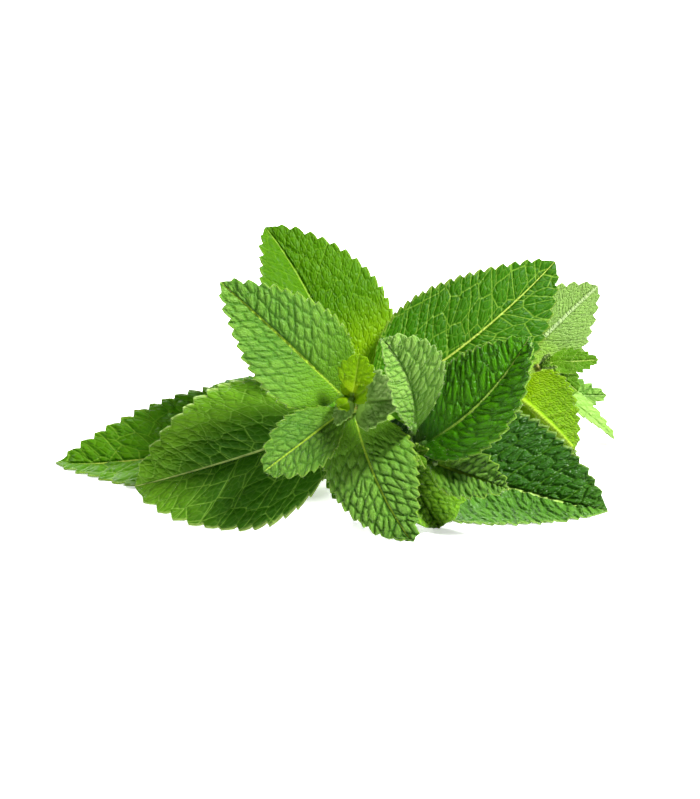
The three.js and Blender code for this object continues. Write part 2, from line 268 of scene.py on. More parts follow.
# dark is the colour in the grooves and light that on the bulges: painted shade and painted light that
# follow the relief; vein is the veins' colour, and where it is darker than the tissue, as on grey, lit and
# silver, it is painted shade in the sunken veins
finishes = {
    "deep": {
        "dark": (0.01, 0.056, 0.0), "light": (0.027, 0.104, 0.0), "base": (0.04, 0.17, 0.0),
        "vein": (0.2, 0.36, 0.03), "veinShow": 0.75, "rib": (0.34, 0.44, 0.06), "ribShow": 0.85,
        "glow": (0.16, 0.45, 0.0),
    },
    "clear": {
        # its base colour is painted light: brighter over the half of the blade near the stem, where shade
        # falls on it
        "dark": (0.03, 0.11, 0.0), "light": (0.07, 0.19, 0.002), "base": (0.15, 0.36, 0.0),
        "baseTo": (0.2, 0.7),
        "vein": (0.2, 0.36, 0.03), "veinShow": 0.75, "rib": (0.34, 0.44, 0.06), "ribShow": 0.85,
        "glow": (0.16, 0.45, 0.0),
    },
    "glossy": {
        # its base colour is painted shade: darker over nearly the whole length of one half, where the next
        # leaf casts shadow on it
        "dark": (0.02, 0.09, 0.005), "light": (0.08, 0.22, 0.02), "base": (0.008, 0.055, 0.0),
        "baseTo": (0.8, 1.2), "paintedShadeSide": -1, "paintedShadeSideTo": (-0.1, 0.2), "under": (0.1, 0.2, 0.04),
        "vein": (0.1, 0.24, 0.01), "veinShow": 0.35, "rib": (0.34, 0.52, 0.1), "ribShow": 0.8,
        "glow": (0.08, 0.3, 0.0), "thin": 0.1, "roughness": 0.34, "shine": 0.22, "relief": 0.4,
    },
    "dark": {
        "dark": (0.012, 0.078, 0.0), "light": (0.045, 0.185, 0.0), "base": (0.015, 0.1, 0.001),
        "stalkTo": (0.02, 0.13), "under": (0.1, 0.2, 0.04),
        "vein": (0.12, 0.28, 0.01), "veinShow": 0.35,
        "rib": (0.3, 0.48, 0.06), "ribShow": 0.8, "ribFrom": (0.08, 0.35),
        "glow": (0.12, 0.4, 0.0), "thin": 0.15, "roughness": 0.36, "shine": 0.14, "relief": 0.3,
    },
    "fresh": {
        "dark": (0.035, 0.125, 0.0), "light": (0.08, 0.21, 0.002), "base": (0.1, 0.26, 0.001),
        "under": (0.15, 0.28, 0.05),
        "vein": (0.24, 0.42, 0.05), "veinShow": 1.0, "rib": (0.3, 0.42, 0.07), "ribShow": 0.8,
        "glow": (0.2, 0.5, 0.0),
    },
    "shaded": {
        # its base colour is painted shadow: dark over the base and middle of one half of the blade, where
        # the leaves above cast shadow
        "dark": (0.07, 0.2, 0.003), "light": (0.15, 0.33, 0.015), "base": (0.005, 0.04, 0.0),
        "baseTo": (0.6, 0.95), "paintedShadeSide": -1, "paintedShadeSideTo": (0.2, 0.7), "under": (0.15, 0.28, 0.05),
        "vein": (0.22, 0.4, 0.05), "veinShow": 0.9, "rib": (0.62, 0.78, 0.22), "ribShow": 0.9,
        "glow": (0.2, 0.5, 0.0),
    },
    "grey": {
        "dark": (0.045, 0.15, 0.008), "light": (0.13, 0.28, 0.03), "base": (0.1, 0.25, 0.002),
        "under": (0.14, 0.27, 0.08), "underVein": (0.28, 0.42, 0.14),
        "vein": (0.03, 0.12, 0.005), "veinShow": 0.3, "rib": (0.3, 0.47, 0.03), "ribShow": 0.9,
        "glow": (0.2, 0.45, 0.0), "thin": 0.25,
        "roughness": 0.42, "shine": 0.15, "sheen": 0.1, "relief": 0.22,
    },
    "lit": {
        "dark": (0.05, 0.17, 0.0), "light": (0.19, 0.42, 0.015), "base": (0.06, 0.2, 0.0),
        "under": (0.16, 0.3, 0.06), "underVein": (0.28, 0.42, 0.1),
        "vein": (0.03, 0.12, 0.0), "veinShow": 0.3, "rib": (0.2, 0.38, 0.02), "ribShow": 0.7,
        "glow": (0.22, 0.48, 0.0), "thin": 0.25, "roughness": 0.4, "shine": 0.2, "relief": 0.25,
    },
    "silver": {
        "dark": (0.07, 0.2, 0.015), "light": (0.22, 0.4, 0.07), "base": (0.07, 0.22, 0.005),
        "stalkTo": (0.02, 0.13), "under": (0.16, 0.28, 0.08), "underVein": (0.28, 0.4, 0.15),
        "vein": (0.05, 0.16, 0.02), "veinShow": 0.3,
        "rib": (0.34, 0.5, 0.14), "ribShow": 0.5, "ribFrom": (0.08, 0.3),
        "glow": (0.2, 0.4, 0.04), "thin": 0.25, "roughness": 0.42, "sheen": 0.05, "relief": 0.4,
    },
    "soft": {
        # pale whitish green, partly the leaf's own tone and partly painted light that lifts a leaf lying
        # in shade
        "dark": (0.2, 0.44, 0.06), "light": (0.42, 0.66, 0.18), "base": (0.28, 0.52, 0.06),
        "under": (0.4, 0.62, 0.18), "underVein": (0.3, 0.46, 0.14),
        "vein": (0.18, 0.4, 0.05), "veinShow": 0.3, "rib": (0.26, 0.4, 0.08), "ribShow": 0.5,
        "glow": (0.26, 0.48, 0.05), "thin": 0.35, "roughness": 0.5, "relief": 0.15,
    },
    "young": {
        "dark": (0.03, 0.11, 0.0), "light": (0.055, 0.155, 0.0), "base": (0.26, 0.44, 0.0),
        "under": (0.155, 0.325, 0.0), "underVein": (0.28, 0.43, 0.02),
        "vein": (0.16, 0.32, 0.01), "veinShow": 0.6, "rib": (0.24, 0.4, 0.03), "ribShow": 0.6,
        "glow": (0.26, 0.5, 0.0), "relief": 0.1,
    },
    "bright": {
        # bright yellow-green, partly the young leaf's own tone and partly painted light that lifts a leaf
        # lying in the lamp's shade
        "dark": (0.14, 0.32, 0.0), "light": (0.22, 0.44, 0.0), "base": (0.3, 0.48, 0.0),
        "under": (0.2, 0.36, 0.02), "underVein": (0.3, 0.45, 0.05),
        "vein": (0.3, 0.5, 0.02), "veinShow": 0.4, "rib": (0.34, 0.5, 0.03), "ribShow": 0.5,
        "glow": (0.36, 0.6, 0.0), "thin": 0.4, "relief": 0.1,
    },
    "pale": {
        "dark": (0.2, 0.42, 0.05), "light": (0.32, 0.54, 0.12), "base": (0.26, 0.46, 0.03),
        "under": (0.17, 0.28, 0.065), "underVein": (0.28, 0.38, 0.16),
        "vein": (0.2, 0.36, 0.08), "veinShow": 0.3, "rib": (0.34, 0.46, 0.14), "ribShow": 0.6,
        "glow": (0.3, 0.5, 0.04), "roughness": 0.5, "relief": 0.3,
    },
}
# the under side of a finish against its upper side
below = {"lighter": 1.25, "rougher": 0.2, "veins": 1.2, "ribShow": 0.9, "ribReach": (0.5, 0.9)}
skin = {
    "mottle": 90, "patches": (0.35, 0.65), "mottleShare": 0.3,  # patches of colour; the rest of the tissue's colour follows the relief as painted shade and painted light
    "speck": 2600, "fineCells": 3, "fineUneven": 0.9,  # fine meshes in one mesh of the net
    # where the colour of a vein starts to fade and where it ends, on its own scale
    "sideVein": (0.0072, 0.0288), "netVein": (0.01, 0.04), "fineVein": (0.02, 0.1),
    "netShow": 0.8, "fineShow": 0.25, "baseShow": 0.9, "stalkShow": 0.92,
    # the rims get a pale band, a painted highlight along the margin
    "rim": (0.94, 0.99), "rimHighlightShow": 0.35, "stalk": (0.06, 0.135, 0.008),
    "bump": {"fine": 0.15, "speck": 0.05}, "fineBump": 0.25, "sheenRoughness": 0.3,
    "mottleRoughness": 0.1, "ribShade": 0.6,  # how much less light the midrib lets through
}


def sideLooks(finish):
    # a finish as the upper side of a leaf wears it, and as its under side does
    # the rims wear the midrib's pale colour as a painted highlight
    upper = {**plainFinish, **finish, "rim": finish["rib"]}
    under = {
        **upper, "dark": upper["under"], "light": [part * below["lighter"] for part in upper["under"]],
        "vein": upper["underVein"], "veinShow": upper["veinShow"] * below["veins"],
        "rib": upper["underVein"], "ribShow": below["ribShow"], "ribReach": below["ribReach"],
        "roughness": upper["roughness"] + below["rougher"]}
    return {"Leaf": upper, "Under": under}


def leafPattern(wire):
    # the net of the veins, with what only the colour needs
    def read(uvMap):
        return wire.add("ShaderNodeUVMap", {"uv_map": uvMap})

    pattern = leafNet(wire, read)
    place = wire.add("ShaderNodeTexCoord", None, None, 3)  # Object coordinates
    pattern["mottle"] = wire.add("ShaderNodeTexNoise", None,
                                 {"Vector": place, "Scale": skin["mottle"], "Detail": 3.0})
    pattern["fine"] = wire.add("ShaderNodeTexVoronoi",
                               {"voronoi_dimensions": "2D", "feature": "DISTANCE_TO_EDGE"},
                               {"Vector": pattern["cells"], "Scale": skin["fineCells"],
                                "Randomness": skin["fineUneven"]})
    pattern["speck"] = wire.add("ShaderNodeTexNoise", None,
                                {"Vector": place, "Scale": skin["speck"], "Detail": 2.0})
    return pattern


def leafColour(wire, pattern, look, midrib):
    # tissue with painted shade and light from the relief, the base of the blade (painted light on clear,
    # painted shade on glossy and shaded), veins, midrib, stalk and a rim with its painted highlight, one
    # over the other
    along = pattern["share"].split(0)
    across = pattern["share"].split(1)
    # patches of tissue tone, and for the rest the relief: darker in the grooves and lighter on the bulges,
    # as painted shade and painted light
    patches = pattern["mottle"].fade(*skin["patches"]) * skin["mottleShare"]
    toneAndReliefShade = (patches + pattern["relief"] * (1 - skin["mottleShare"])).blend(
        colour(look["dark"]), colour(look["light"]))
    # the base colour near the stem: a tint on most finishes, painted light on clear, and painted shade on
    # glossy and shaded, there on one half only
    baseTintAndPaintedLight = along.fade(*look["baseTo"], skin["baseShow"], 0)
    if look["paintedShadeSide"]:
        baseTintAndPaintedLight = baseTintAndPaintedLight * (across * look["paintedShadeSide"]).fade(*look["paintedShadeSideTo"], 1, 0)
    toneAndReliefShade = baseTintAndPaintedLight.blend(toneAndReliefShade, colour(look["base"]))
    sideVein = pattern["side"].fade(*skin["sideVein"], 1, 0)
    netVein = pattern["cell"].fade(*skin["netVein"], skin["netShow"], 0)
    fineVein = pattern["fine"].fade(*skin["fineVein"], skin["fineShow"], 0)
    veins = wire.maths("MAXIMUM", sideVein, wire.maths("MAXIMUM", netVein, fineVein))
    # veins in their own colour: pale on most finishes, and on grey, lit and silver darker than the tissue,
    # as painted shade in the sunken veins
    surface = (veins * look["veinShow"]).blend(toneAndReliefShade, colour(look["vein"]))
    surface = (midrib * look["ribShow"]).blend(surface, colour(look["rib"]))
    stalk = along.fade(*look["stalkTo"], skin["stalkShow"], 0)
    surface = stalk.blend(surface, colour(skin["stalk"]))
    # a pale band along the rim in its own colour: painted highlight on the margin
    rim = abs(across).fade(*skin["rim"], 0, skin["rimHighlightShow"])
    return rim.blend(surface, colour(look["rim"]))


def leafMaterial(name, look):
    material, wire = newMaterial(name)
    pattern = leafPattern(wire)
    midrib = pattern["rib"].fade(*look["ribReach"], 1, 0)
    midrib = midrib * pattern["share"].split(0).fade(*look["ribFrom"])
    height = pattern["relief"] * look["relief"]
    height = height + pattern["fine"].fade(0, skin["fineBump"]) * skin["bump"]["fine"]
    height = height + pattern["speck"] * skin["bump"]["speck"]
    bump = wire.add("ShaderNodeBump", None, {"Strength": 1.0, "Distance": mm, "Height": height})
    body = wire.add("ShaderNodeBsdfPrincipled", None, {
        "Base Color": leafColour(wire, pattern, look, midrib), "Normal": bump,
        "Roughness": pattern["mottle"] * skin["mottleRoughness"] + look["roughness"],
        "Sheen Weight": look["sheen"], "Sheen Roughness": skin["sheenRoughness"],
        "Specular IOR Level": look["shine"]})
    glow = wire.add("ShaderNodeBsdfTranslucent", None, {"Color": colour(look["glow"])})
    through = wire.add("ShaderNodeMixShader", None, {
        0: midrib * (-skin["ribShade"] * look["thin"]) + look["thin"], 1: body, 2: glow})
    wire.add("ShaderNodeOutputMaterial", None, {"Surface": through})
    return material


# what every leaf has unless its own plan says otherwise
plainLeaf = {
    "arch": 0, "hook": 0,  # how far the whole leaf bends down and to its right
    "widest": 0.36,  # where the blade is widest, from its base
    "cell": 0.42, "toothPitch": 2.5, "quilt": 0.2,  # quilt is the height of the bulges
    "net": (1.8, 1),  # meshes from one side vein to the next, and how far they are stretched outwards
}
# aim is heading, pitch and roll at the node where the leaf grows, size the blade's length and width;
# both halves rise from the midrib by fold and lose cup of that slope towards the rims; all in degrees
leaves = {
    "main_leaf_1_left": {
        "grows": ("main", 2), "aim": (160, 8, 0), "size": (45, 28), "arch": 50, "fold": 8, "cup": 20,
        "finish": "deep", "quilt": 0.8, "cell": 0.6},
    "main_leaf_1_right": {
        "grows": ("main", 2), "aim": (-3, -5, 0), "size": (50, 27), "arch": 10, "fold": 6, "cup": 20,
        "finish": "deep", "quilt": 0.8, "cell": 0.6},
    "main_leaf_2_left": {
        "grows": ("main", 3), "aim": (174, -8, -31), "size": (68, 37), "fold": 20, "cup": 14,
        "finish": "clear", "quilt": 0.6, "toothPitch": 3.4, "net": (1.3, 1.0)},
    "main_leaf_2_right": {
        "grows": ("main", 3), "aim": (-20, -8, 35), "size": (65, 39), "widest": 0.5, "fold": 22,
        "cup": 15, "finish": "glossy", "quilt": 0.8, "net": (3.0, 1.6), "cell": 0.32},
    "main_leaf_3_upper": {
        "grows": ("main", 4), "aim": (136, 57, -20), "stalk": 8, "size": (45, 34), "arch": 30,
        "hook": -20, "fold": 28, "cup": 20, "finish": "young", "quilt": 0.35, "net": (1.5, 1.0)},
    "main_leaf_3_lower": {
        "grows": ("main", 4), "aim": (-100, -45, 0), "size": (18, 12), "arch": 10, "fold": 10,
        "cup": 10, "finish": "deep", "quilt": 0.3, "cell": 0.6},
    "main_leaf_4_left": {
        "grows": ("main", 5), "aim": (-178, -18, -48), "size": (52, 38), "widest": 0.45, "arch": 20,
        "hook": 16, "fold": 18, "cup": 30, "finish": "shaded", "quilt": 0.4, "toothPitch": 3.4,
        "net": (1.3, 1.0)},
    "main_leaf_4_right": {
        "grows": ("main", 5), "aim": (20, 33, 58), "stalk": 7, "size": (54, 33), "arch": 20,
        "hook": -20, "fold": 8, "cup": 25, "finish": "deep", "quilt": 0.35, "net": (1.4, 1.1)},
    "main_leaf_5_upper": {
        "grows": ("main", 6), "aim": (-174, 46, -70), "stalk": 5, "size": (39, 24), "arch": 25,
        "fold": 20, "cup": 25, "finish": "grey", "quilt": 0.7, "net": (2.2, 1.2), "cell": 0.32},
    "main_leaf_5_lower": {
        "grows": ("main", 6), "aim": (-51.5, -51, 46), "size": (33, 22), "widest": 0.34, "arch": 30,
        "hook": -22, "fold": 10, "cup": 30, "finish": "grey", "quilt": 0.85, "net": (2.0, 1.1),
        "cell": 0.32},
    "main_leaf_6_left": {
        "grows": ("main", 7), "aim": (-152, -28.5, -58), "size": (24.5, 14.5), "widest": 0.54,
        "arch": 25, "fold": 24, "cup": 15, "finish": "grey", "quilt": 0.5, "net": (2.2, 1.2),
        "cell": 0.32},
    "main_leaf_6_right": {
        "grows": ("main", 7), "aim": (-36, 16, 60), "size": (13, 15), "arch": 10, "fold": 20,
        "cup": 10, "finish": "soft", "quilt": 0.5},
    "front_leaf_1_right": {
        "grows": ("front", 2), "aim": (-17, 45, 58), "stalk": 8, "size": (40, 24), "widest": 0.5,
        "arch": 15, "hook": -55, "fold": 30, "cup": 30, "finish": "dark", "quilt": 0.55,
        "net": (2.6, 2.2), "cell": 0.32},
    "front_leaf_2_right": {
        "grows": ("front", 3), "aim": (-35, -4, 50), "stalk": 8, "size": (20.5, 13), "widest": 0.45,
        "arch": 15, "fold": 25, "cup": 15, "finish": "grey", "quilt": 1.1, "net": (2.6, 3),
        "cell": 0.32},
    "front_leaf_2_upper": {
        "grows": ("front", 3), "aim": (-110, 64, -115), "stalk": 6.5, "size": (32, 18.5),
        "widest": 0.6, "arch": 40, "hook": -35, "fold": 30, "cup": 10, "finish": "silver",
        "quilt": 0.7, "net": (2.8, 1.8), "cell": 0.32},
    "front_leaf_1_lower": {
        "grows": ("front", 2), "aim": (-52, -36, 0), "size": (20.5, 22), "widest": 0.6, "arch": 10,
        "fold": 25, "cup": 10, "finish": "lit", "quilt": 0.9, "net": (2.4, 1.2), "cell": 0.32},
    "back_leaf_1_upper": {
        "grows": ("back", 2), "aim": (18, 42, -97), "stalk": 8, "size": (27.5, 22), "arch": 20,
        "fold": 10, "cup": 20, "finish": "pale", "quilt": 0.2, "net": (1.5, 1.0)},
    "back_leaf_1_lower": {
        "grows": ("back", 2), "aim": (-63, -9, -98), "stalk": 5, "size": (31, 22), "widest": 0.3,
        "arch": 20, "fold": 35, "cup": 10, "finish": "young", "quilt": 0.3, "net": (1.5, 1.0)},
    "back_leaf_2_near": {
        "grows": ("back", 3), "aim": (-2, -36, 10), "stalk": 4, "size": (25.5, 12), "arch": 20,
        "fold": 20, "cup": 20, "finish": "pale", "quilt": 0.3},
    "back_leaf_2_far": {
        "grows": ("back", 3), "aim": (34, -22, 48), "stalk": 4, "size": (28, 13.5), "arch": -60,
        "fold": 20, "cup": 20, "finish": "silver", "quilt": 0.3},
}

# the end of each shoot: a few small leaves, and round its point a bud of the smallest ones
tips = {
    "main_tip": {
        "shoot": "main", "finish": "bright", "bud": {"size": (6.5, 5), "spread": 42}, "leaves": [
            {"aim": (0, 80, 90), "size": (9.5, 8.5), "widest": 0.5, "fold": 15, "cup": 30},
            {"aim": (-130, -45, 0), "size": (6.5, 5.5), "fold": 10, "cup": 10, "finish": "soft"}]},
    "front_tip": {
        "shoot": "front", "finish": "fresh", "bud": {}, "leaves": [
            {"aim": (-95, -28, 0), "size": (4.5, 2.6), "fold": 8, "cup": 10},
            {"aim": (-62, -28, 0), "size": (4, 2.6), "fold": 8, "cup": 10}]},
    "back_tip": {
        "shoot": "back", "finish": "fresh", "bud": {}, "leaves": [
            {"aim": (12, 0, 60), "size": (13, 7), "fold": 15, "cup": 10},
            {"aim": (-10, -40, 60), "size": (10, 9), "fold": 15, "cup": 10}]},
}
tipLeaf = {"stalk": 1, "cell": 0.3, "toothPitch": 1.9}
tipGap = 1.6  # how far past the last node the small leaves grow
bud = {"count": 3, "size": (4.4, 3), "spread": 26, "cup": 60, "fold": 10, "stalk": 0.3, "cell": 0.3,
       "toothPitch": 1.5, "firstSeed": 10}


def smoothStep(x, low, high):
    t = min(max((x - low) / (high - low), 0), 1)
    return t * t * (3 - 2 * t)


def aimed(plan):
    # a plan with its defaults, its bends in radians and the three directions of the leaf
    leaf = {**plainLeaf, **plan}
    leaf["length"], leaf["width"] = leaf["size"]
    least, share = bladeShape["stalkLength"]
    leaf["stalk"] = leaf.get("stalk", least + share * leaf["length"])
    least, share = bladeShape["stalkRadius"]
    leaf["radius"] = least + share * leaf["width"]
    leaf["whole"] = leaf["stalk"] + leaf["length"]
    for bend in ("arch", "hook", "fold", "cup"):
        leaf[bend] = radians(leaf[bend])
    heading, pitch, roll = (radians(angle) for angle in leaf["aim"])
    leaf["forward"] = Vector((cos(pitch) * cos(heading), cos(pitch) * sin(heading), sin(pitch)))
    leaf["left"] = Matrix.Rotation(roll, 3, leaf["forward"]) @ Vector((-sin(heading), cos(heading), 0))
    leaf["face"] = leaf["forward"].cross(leaf["left"])
    return leaf


# in millimetres; u goes from 0 at the base of a blade to 1 at its point, and v from -1 at its right rim
# to 1 at its left one
bladeShape = {
    "thickness": 0.32, "thickest": 2.6,
    "stalkCell": 0.7, "baseRows": 1.5, "columns": (12, 56), "crowding": 1.25,  # how fine the grid is
    "teeth": (0.05, 0.96), "fullTeeth": 0.2,  # where the teeth start and end, and from where they are full
    "pointAt": 0.72, "toothCurve": 0.7, "toothDepth": 0.36, "toothMiddle": 0.6, "lean": 0.25,
    "unevenPlace": (0.22, 1.7), "unevenDepth": (0.5, 2.3),  # how much, and how fast from tooth to tooth
    "fullness": 0.78, "leastHalf": 0.05,
    "stalkLength": (1, 0.04), "stalkRadius": (0.45, 0.015),  # plus a share of the length or the width
    "stalkHalf": 0.9, "foldFrom": (0, 0.06), "foldTo": (0.97, 1),
    "pressLift": 0.28, "softness": 0.8,  # a blade this close to the table flattens against it
    "liftFrom": (0, 0.08), "liftTo": (0.93, 1), "liftRim": (0.85, 1), "rimDrop": 0.35,
}


def toothSteps(rising, falling):
    # where the rows of one tooth lie between its notches, and how high the tooth is there
    point = bladeShape["pointAt"]
    up = [(point * k / rising, (k / rising) ** bladeShape["toothCurve"]) for k in range(rising)]
    down = [(point + (1 - point) * k / falling, 1 - k / falling) for k in range(falling)]
    return up + down


def leafRows(leaf, seed):
    # the rows of a leaf from its node to its point: how far along each lies, its u (-1 to 0 on the
    # stalk), and how far a tooth there reaches outwards and forwards
    first, last = bladeShape["teeth"]
    stalk, length, pitch = leaf["stalk"], leaf["length"], leaf["toothPitch"]
    count = ceil(stalk / bladeShape["stalkCell"])
    rows = [(stalk * k / count, k / count - 1, 0, 0) for k in range(count)]
    count = max(4, round(first * length / leaf["cell"]))
    places = [first * (k / count) ** bladeShape["baseRows"] for k in range(count)]
    rows += [(stalk + length * u, u, 0, 0) for u in places]
    teeth = max(5, round((last - first) * length / pitch))
    uneven, step = bladeShape["unevenPlace"]
    notches = [first + (last - first) * (k + uneven * noise.noise((k * step, seed, 0))) / teeth
               for k in range(teeth)] + [last]
    rising = max(3, round(bladeShape["pointAt"] * pitch / leaf["cell"]))
    falling = max(2, round((1 - bladeShape["pointAt"]) * pitch / leaf["cell"]))
    uneven, step = bladeShape["unevenDepth"]
    for k, (notch, following) in enumerate(zip(notches, notches[1:])):
        gap = (following - notch) * length
        depth = bladeShape["toothDepth"] * gap * smoothStep(notch, 0, bladeShape["fullTeeth"])
        depth *= 1 + uneven * noise.noise((k * step, seed, 5))
        for share, high in toothSteps(rising, falling):
            u = notch + share * (following - notch)
            tooth = depth * (high - bladeShape["toothMiddle"])
            rows.append((stalk + u * length, u, tooth, bladeShape["lean"] * gap * high))
    count = max(3, round((1 - last) * length / leaf["cell"]))
    places = [last + (1 - last) * k / count for k in range(count + 1)]
    rows += [(stalk + length * u, u, 0, 0) for u in places]
    return rows


def leafDirection(leaf, distance):
    down = leaf["arch"] * (0.5 - distance / leaf["whole"])
    aside = leaf["hook"] * (0.5 - distance / leaf["whole"])
    return (leaf["forward"] * (cos(down) * cos(aside)) + leaf["left"] * (cos(down) * sin(aside))
            + leaf["face"] * sin(down))


def leafSpine(leaf, rows, start):
    # the middle of each row, and where its length, its left and its face point
    spine = []
    centre = start
    before = 0
    for distance, *rest in rows:
        centre = centre + leafDirection(leaf, (before + distance) / 2) * (distance - before)
        before = distance
        along = leafDirection(leaf, distance)
        side = (leaf["left"] - along * leaf["left"].dot(along)).normalized()
        spine.append((centre, along, side, along.cross(side)))
    return spine


def bladeHalf(leaf, u, tooth):  # half the width of the leaf at u
    outline = sin(pi * min(max(u, 0), 1) ** (log(0.5) / log(leaf["widest"]))) ** bladeShape["fullness"]
    least = leaf["radius"] * bladeShape["stalkHalf"] if u < 0.5 else bladeShape["leastHalf"]
    return max(leaf["width"] / 2 * outline + tooth, least)


def pressed(z):
    above = z - bladeShape["pressLift"]
    if above < bladeShape["softness"]:
        z = bladeShape["pressLift"] + bladeShape["softness"] * exp(above / bladeShape["softness"] - 1)
    return z


def bladePlace(leaf, middle, u, v, out, lean):
    # both halves rise from the midrib and bend back down towards the rims
    centre, along, side, up = middle
    fold = leaf["fold"] * smoothStep(u, *bladeShape["foldFrom"])
    fold *= 1 - smoothStep(u, *bladeShape["foldTo"])
    bend = leaf["cup"] / (leaf["width"] / 2)
    slope = fold - bend * out
    reach = (sin(fold) - sin(slope)) / bend
    rise = (cos(slope) - cos(fold)) / bend
    place = centre + side * copysign(reach, v) + up * rise + along * (lean * v ** 6)
    place.z = pressed(place.z)
    return place + up * bladeShape["thickness"] / 2


# the side veins run outwards and forwards; their gap is in millimetres, plus a share of the length
veinPlan = {
    "gap": (2.2, 0.09), "forward": 0.75, "curve": 0.4,
    "offset": 0.35,  # how much nearer to the base the left half's are, in gaps
    "wander": 0.16, "wanderScale": 0.12, "wanderStep": 7.3,
    "outwards": 1.3,  # how much closer the meshes of the net lie outwards than along the blade
    "rib": (0.12, 0.6, 0.8),  # half the midrib at its end, the share of the stalk added, how it narrows
    "ribHeight": 1.3, "sideHeight": 0.16, "sideWidth": 0.09, "sideFrom": (0.02, 0.1),
    "stalkHeight": 1.8, "stalkRound": 0.9, "stalkTo": (0, 0.06),
}


def veinPlace(leaf, distance, u, y, seed):
    # the count of side veins from the base, and how far out from the midrib, in their gaps
    gap = veinPlan["gap"][0] + veinPlan["gap"][1] * leaf["length"]
    out = abs(y)
    count = (max(u, 0) * leaf["length"] - veinPlan["forward"] * out
             - veinPlan["curve"] * out * out / leaf["width"]) / gap
    scale = veinPlan["wanderScale"]
    spot = Vector((distance * scale, y * scale, seed * veinPlan["wanderStep"]))
    count += veinPlan["wander"] * noise.noise(spot)
    return count, out * veinPlan["outwards"] / gap


def bladeThickness(leaf, u, v, rib, ribHalf, count):
    # the midrib, the stalk and the side veins are thicker than the blade; rib is the distance from the
    # midrib in its half widths
    onVein = 1 - smoothStep(0.5 - abs(count % 1 - 0.5), 0, veinPlan["sideWidth"])
    thickness = bladeShape["thickness"]
    thickness += veinPlan["ribHeight"] * ribHalf * max(0, 1 - rib ** 2) ** 0.5
    thickness += veinPlan["sideHeight"] * onVein * (1 - abs(v)) * smoothStep(u, *veinPlan["sideFrom"])
    if u < veinPlan["stalkTo"][1]:
        section = max(0, 1 - veinPlan["stalkRound"] * v * v) ** 0.5
        stalk = veinPlan["stalkHeight"] * leaf["radius"] * section
        thickness = max(thickness, stalk * (1 - smoothStep(u, *veinPlan["stalkTo"])))
    return thickness


def bladeLift(leaf, u, v):
    # how high the bulges stand: less at both ends of the blade and close to its rim
    lift = leaf["quilt"] * smoothStep(u, *bladeShape["liftFrom"])
    lift *= 1 - smoothStep(u, *bladeShape["liftTo"])
    return lift * (1 - bladeShape["rimDrop"] * smoothStep(abs(v), *bladeShape["liftRim"]))


def newLeafMesh():
    bm = bmesh.new()
    layers = {"thick": bm.verts.layers.deform.new(), "lift": bm.verts.layers.float.new("lift")}
    for title in ("veins", "cells", "blade", "share"):
        layers[title] = bm.loops.layers.uv.new(title)
    return bm, layers


def addLeaf(bm, layers, plan, start, seed, skinNumber=0):
    # a flat grid takes the form of the leaf, row by row from the stem to the point
    leaf = aimed(plan)
    rows = leafRows(leaf, seed)
    spine = leafSpine(leaf, rows, start)
    fewest, most = bladeShape["columns"]
    columns = 2 * min(most, max(fewest, round(leaf["width"] / leaf["cell"] / 2)))
    grid = bmesh.ops.create_grid(bm, x_segments=len(rows) - 1, y_segments=columns, size=0.5)["verts"]
    least, added, taper = veinPlan["rib"]
    stored = {}
    for vert in grid:
        row = round((vert.co.x + 0.5) * (len(rows) - 1))
        v = copysign(abs(2 * vert.co.y) ** bladeShape["crowding"], vert.co.y)
        distance, u, tooth, lean = rows[row]
        out = abs(v) * bladeHalf(leaf, u, tooth)
        vert.co = bladePlace(leaf, spine[row], u, v, out, lean)
        ribHalf = least + leaf["radius"] * added * (1 - max(u, 0)) ** taper
        rib = copysign(out, v) / ribHalf
        count, outwards = veinPlace(leaf, distance, u, copysign(out, v), seed)
        thickness = bladeThickness(leaf, u, v, rib, ribHalf, count)
        vert[layers["thick"]][0] = min(thickness / bladeShape["thickest"], 1)
        vert[layers["lift"]] = bladeLift(leaf, u, v)
        stored[vert] = (count, outwards, rib, u, v)
    fineness, stretch = leaf["net"]
    for face in {face for vert in grid for face in vert.link_faces}:
        face.material_index = skinNumber
        left = copysign(1, sum(stored[vert][4] for vert in face.verts))
        for loop in face.loops:
            count, outwards, rib, u, v = stored[loop.vert]
            count += veinPlan["offset"] * (left > 0)
            loop[layers["veins"]].uv = (count, outwards * left)
            loop[layers["cells"]].uv = (
                (count + seed) * fineness, (outwards + 0.5) * left * fineness / stretch + seed)
            loop[layers["blade"]].uv = (rib, 0)
            loop[layers["share"]].uv = (u, v)


def finished(name, bm, skins):
    # both sides get their materials, and the bulges and the thickness are applied
    mesh = plainMesh(bm, name)
    for finish in skins:
        for material in materials[finish]:
            mesh.materials.append(material)
    piece = bpy.data.objects.new(name, mesh)
    bpy.context.collection.objects.link(piece)
    piece.vertex_groups.new(name="thick")
    piece.modifiers.new("quilt", "NODES").node_group = quilt
    solid = piece.modifiers.new("solid", "SOLIDIFY")
    solid.thickness = bladeShape["thickest"]
    solid.offset = -1
    solid.vertex_group = "thick"
    solid.material_offset = 1  # the under side takes the next material
    graph = bpy.context.evaluated_depsgraph_get()
    baked = bpy.data.meshes.new_from_object(
        piece.evaluated_get(graph), preserve_all_data_layers=True, depsgraph=graph)
    piece.modifiers.clear()
    piece.vertex_groups.clear()
    piece.data = baked
    bpy.data.meshes.remove(mesh)
    baked.name = name
    for vertex in baked.vertices:
        vertex.co.z = max(vertex.co.z, 0)  # nothing goes below the table
    toPlace(baked)
    return piece


